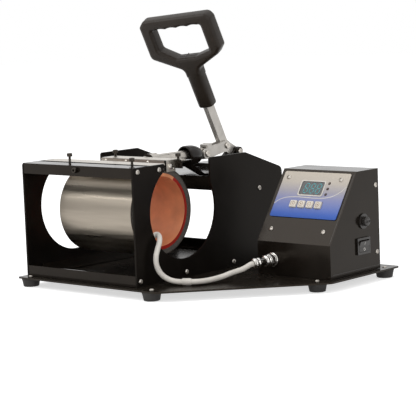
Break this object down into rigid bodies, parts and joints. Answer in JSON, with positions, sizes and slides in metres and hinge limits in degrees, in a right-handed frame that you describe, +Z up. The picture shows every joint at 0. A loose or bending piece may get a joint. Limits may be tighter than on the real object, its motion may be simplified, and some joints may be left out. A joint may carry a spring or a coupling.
{
  "type": "mug heat press",
  "caption": "Bench press with a curved heated cradle closed round a mug by a raised toggle lever, and a sloping control box beside it.",
  "frame": {"origin": "middle of the bounding box, on the surface that the feet stand on, measured without the heater lead", "axes": "+Z up, -Y the front where the operator stands, X along the mug's axis with the control box at +X"},
  "size_m": [0.3662, 0.3068, 0.3258],
  "materials": {
    "black": "satin black powder coat",
    "zinc": "zinc plated, semi-bright",
    "chrome": "bright chrome plate",
    "steel": "brushed stainless, warm grey",
    "bplastic": "glossy black plastic",
    "mplastic": "satin black-brown plastic",
    "rubber": "matt black rubber",
    "screw": "black oxide steel",
    "sponge": "dark grey silicone sponge",
    "silicone": "copper-brown silicone mat with a red edge",
    "white": "white silicone sleeve",
    "label": "printed film, silver fading to blue",
    "window": "dark tinted window with lit digits",
    "button": "light grey plastic",
    "led": "dark lamp lens",
    "board": "green circuit board",
    "iron": "laminated iron core and winding"
  },
  "bodies": {
    "press": {"base_plate": "black", "side_plate_right": "black", "side_plate_left": "black", "front_top_bar": "black", "front_bottom_bar": "black", "rear_bottom_bar": "black", "rail_right": "black", "rail_left": "black", "foot_front_left": "rubber", "foot_front_middle": "rubber", "foot_front_right": "rubber", "foot_rear_right": "rubber", "foot_rear_left": "rubber", "toggle_deck": "black", "heater_shell": "steel", "heater_sponge": "sponge", "heater_mat": "silicone", "heater_terminal": "white", "front_clamp_strip": "zinc", "clamp_screw_front_left": "screw", "clamp_screw_front_right": "screw", "front_bar_screw": "screw", "toggle_bracket": "black", "pivot_pin": "chrome", "control_cover": "black", "control_rear_panel": "black", "control_label": "label", "display_window": "window", "led_1": "led", "led_2": "led", "led_3": "led", "circuit_board": "board", "fuse_holder": "bplastic", "rocker_frame": "mplastic", "transformer": "iron", "power_inlet": "mplastic", "output_socket": "zinc", "plug_nut": "chrome", "lead_plug": "chrome", "heater_lead": "white", "lead_sleeve": "white"},
    "lever": {"lever_bar": "chrome", "grip": "mplastic", "knee_pin": "chrome"},
    "link": {"toggle_link": "chrome", "eye_pin": "chrome"},
    "slider": {"push_rod": "chrome", "rod_nut_rear": "zinc", "rod_nut_front": "zinc", "rear_clamp_bar": "black", "rear_clamp_strip": "zinc", "clamp_screw_rear_left": "screw", "clamp_screw_rear_right": "screw"},
    "knob": {"pressure_knob": "bplastic"},
    "button_one": {"button_1": "button"},
    "button_two": {"button_2": "button"},
    "button_three": {"button_3": "button"},
    "button_four": {"button_4": "button"},
    "rocker": {"rocker_paddle": "bplastic"},
    "fuse_cap_turning": {"fuse_cap": "bplastic"}
  },
  "joints": [
    {"name": "lever_pivot", "type": "hinge", "parent": "press", "child": "lever", "pos_m": [-0.0856, 0.14707, 0.1405], "axis": [1, 0, 0], "range_deg": [-35, 25]},
    {"name": "link_knee", "type": "hinge", "parent": "lever", "child": "link", "pos_m": [-0.0856, 0.1271, 0.14998], "axis": [1, 0, 0], "range_deg": [-40, 54]},
    {"name": "rod_slide", "type": "slide", "parent": "press", "child": "slider", "axis": [0, -1, 0], "range_m": [-0.009, 0.0065], "deforming": ["heater_shell", "heater_sponge", "heater_mat"]},
    {"name": "knob_turn", "type": "hinge", "parent": "slider", "child": "knob", "pos_m": [-0.0856, 0.08812, 0.143], "axis": [0, 1, 0], "continuous": true},
    {"name": "button_one_press", "type": "slide", "parent": "press", "child": "button_one", "axis": [0, 0.8228, -0.5683], "range_m": [0, 0.001], "stiffness_N_per_m": 400},
    {"name": "button_two_press", "type": "slide", "parent": "press", "child": "button_two", "axis": [0, 0.8228, -0.5683], "range_m": [0, 0.001], "stiffness_N_per_m": 400},
    {"name": "button_three_press", "type": "slide", "parent": "press", "child": "button_three", "axis": [0, 0.8228, -0.5683], "range_m": [0, 0.001], "stiffness_N_per_m": 400},
    {"name": "button_four_press", "type": "slide", "parent": "press", "child": "button_four", "axis": [0, 0.8228, -0.5683], "range_m": [0, 0.001], "stiffness_N_per_m": 400},
    {"name": "rocker_tilt", "type": "hinge", "parent": "press", "child": "rocker", "pos_m": [0.1724, 0.07157, 0.0437], "axis": [0, -1, 0], "range_deg": [0, 18]},
    {"name": "fuse_cap_turn", "type": "hinge", "parent": "press", "child": "fuse_cap_turning", "pos_m": [0.1764, 0.07307, 0.0727], "axis": [1, 0, 0], "range_deg": [0, 90]}
  ],
  "couplings": [
    {"joint": "link_knee", "follows": "lever_pivot", "ratio": -1.48},
    {"joint": "rod_slide", "follows": "lever_pivot", "m_per_rad": 0.014324}
  ]
}
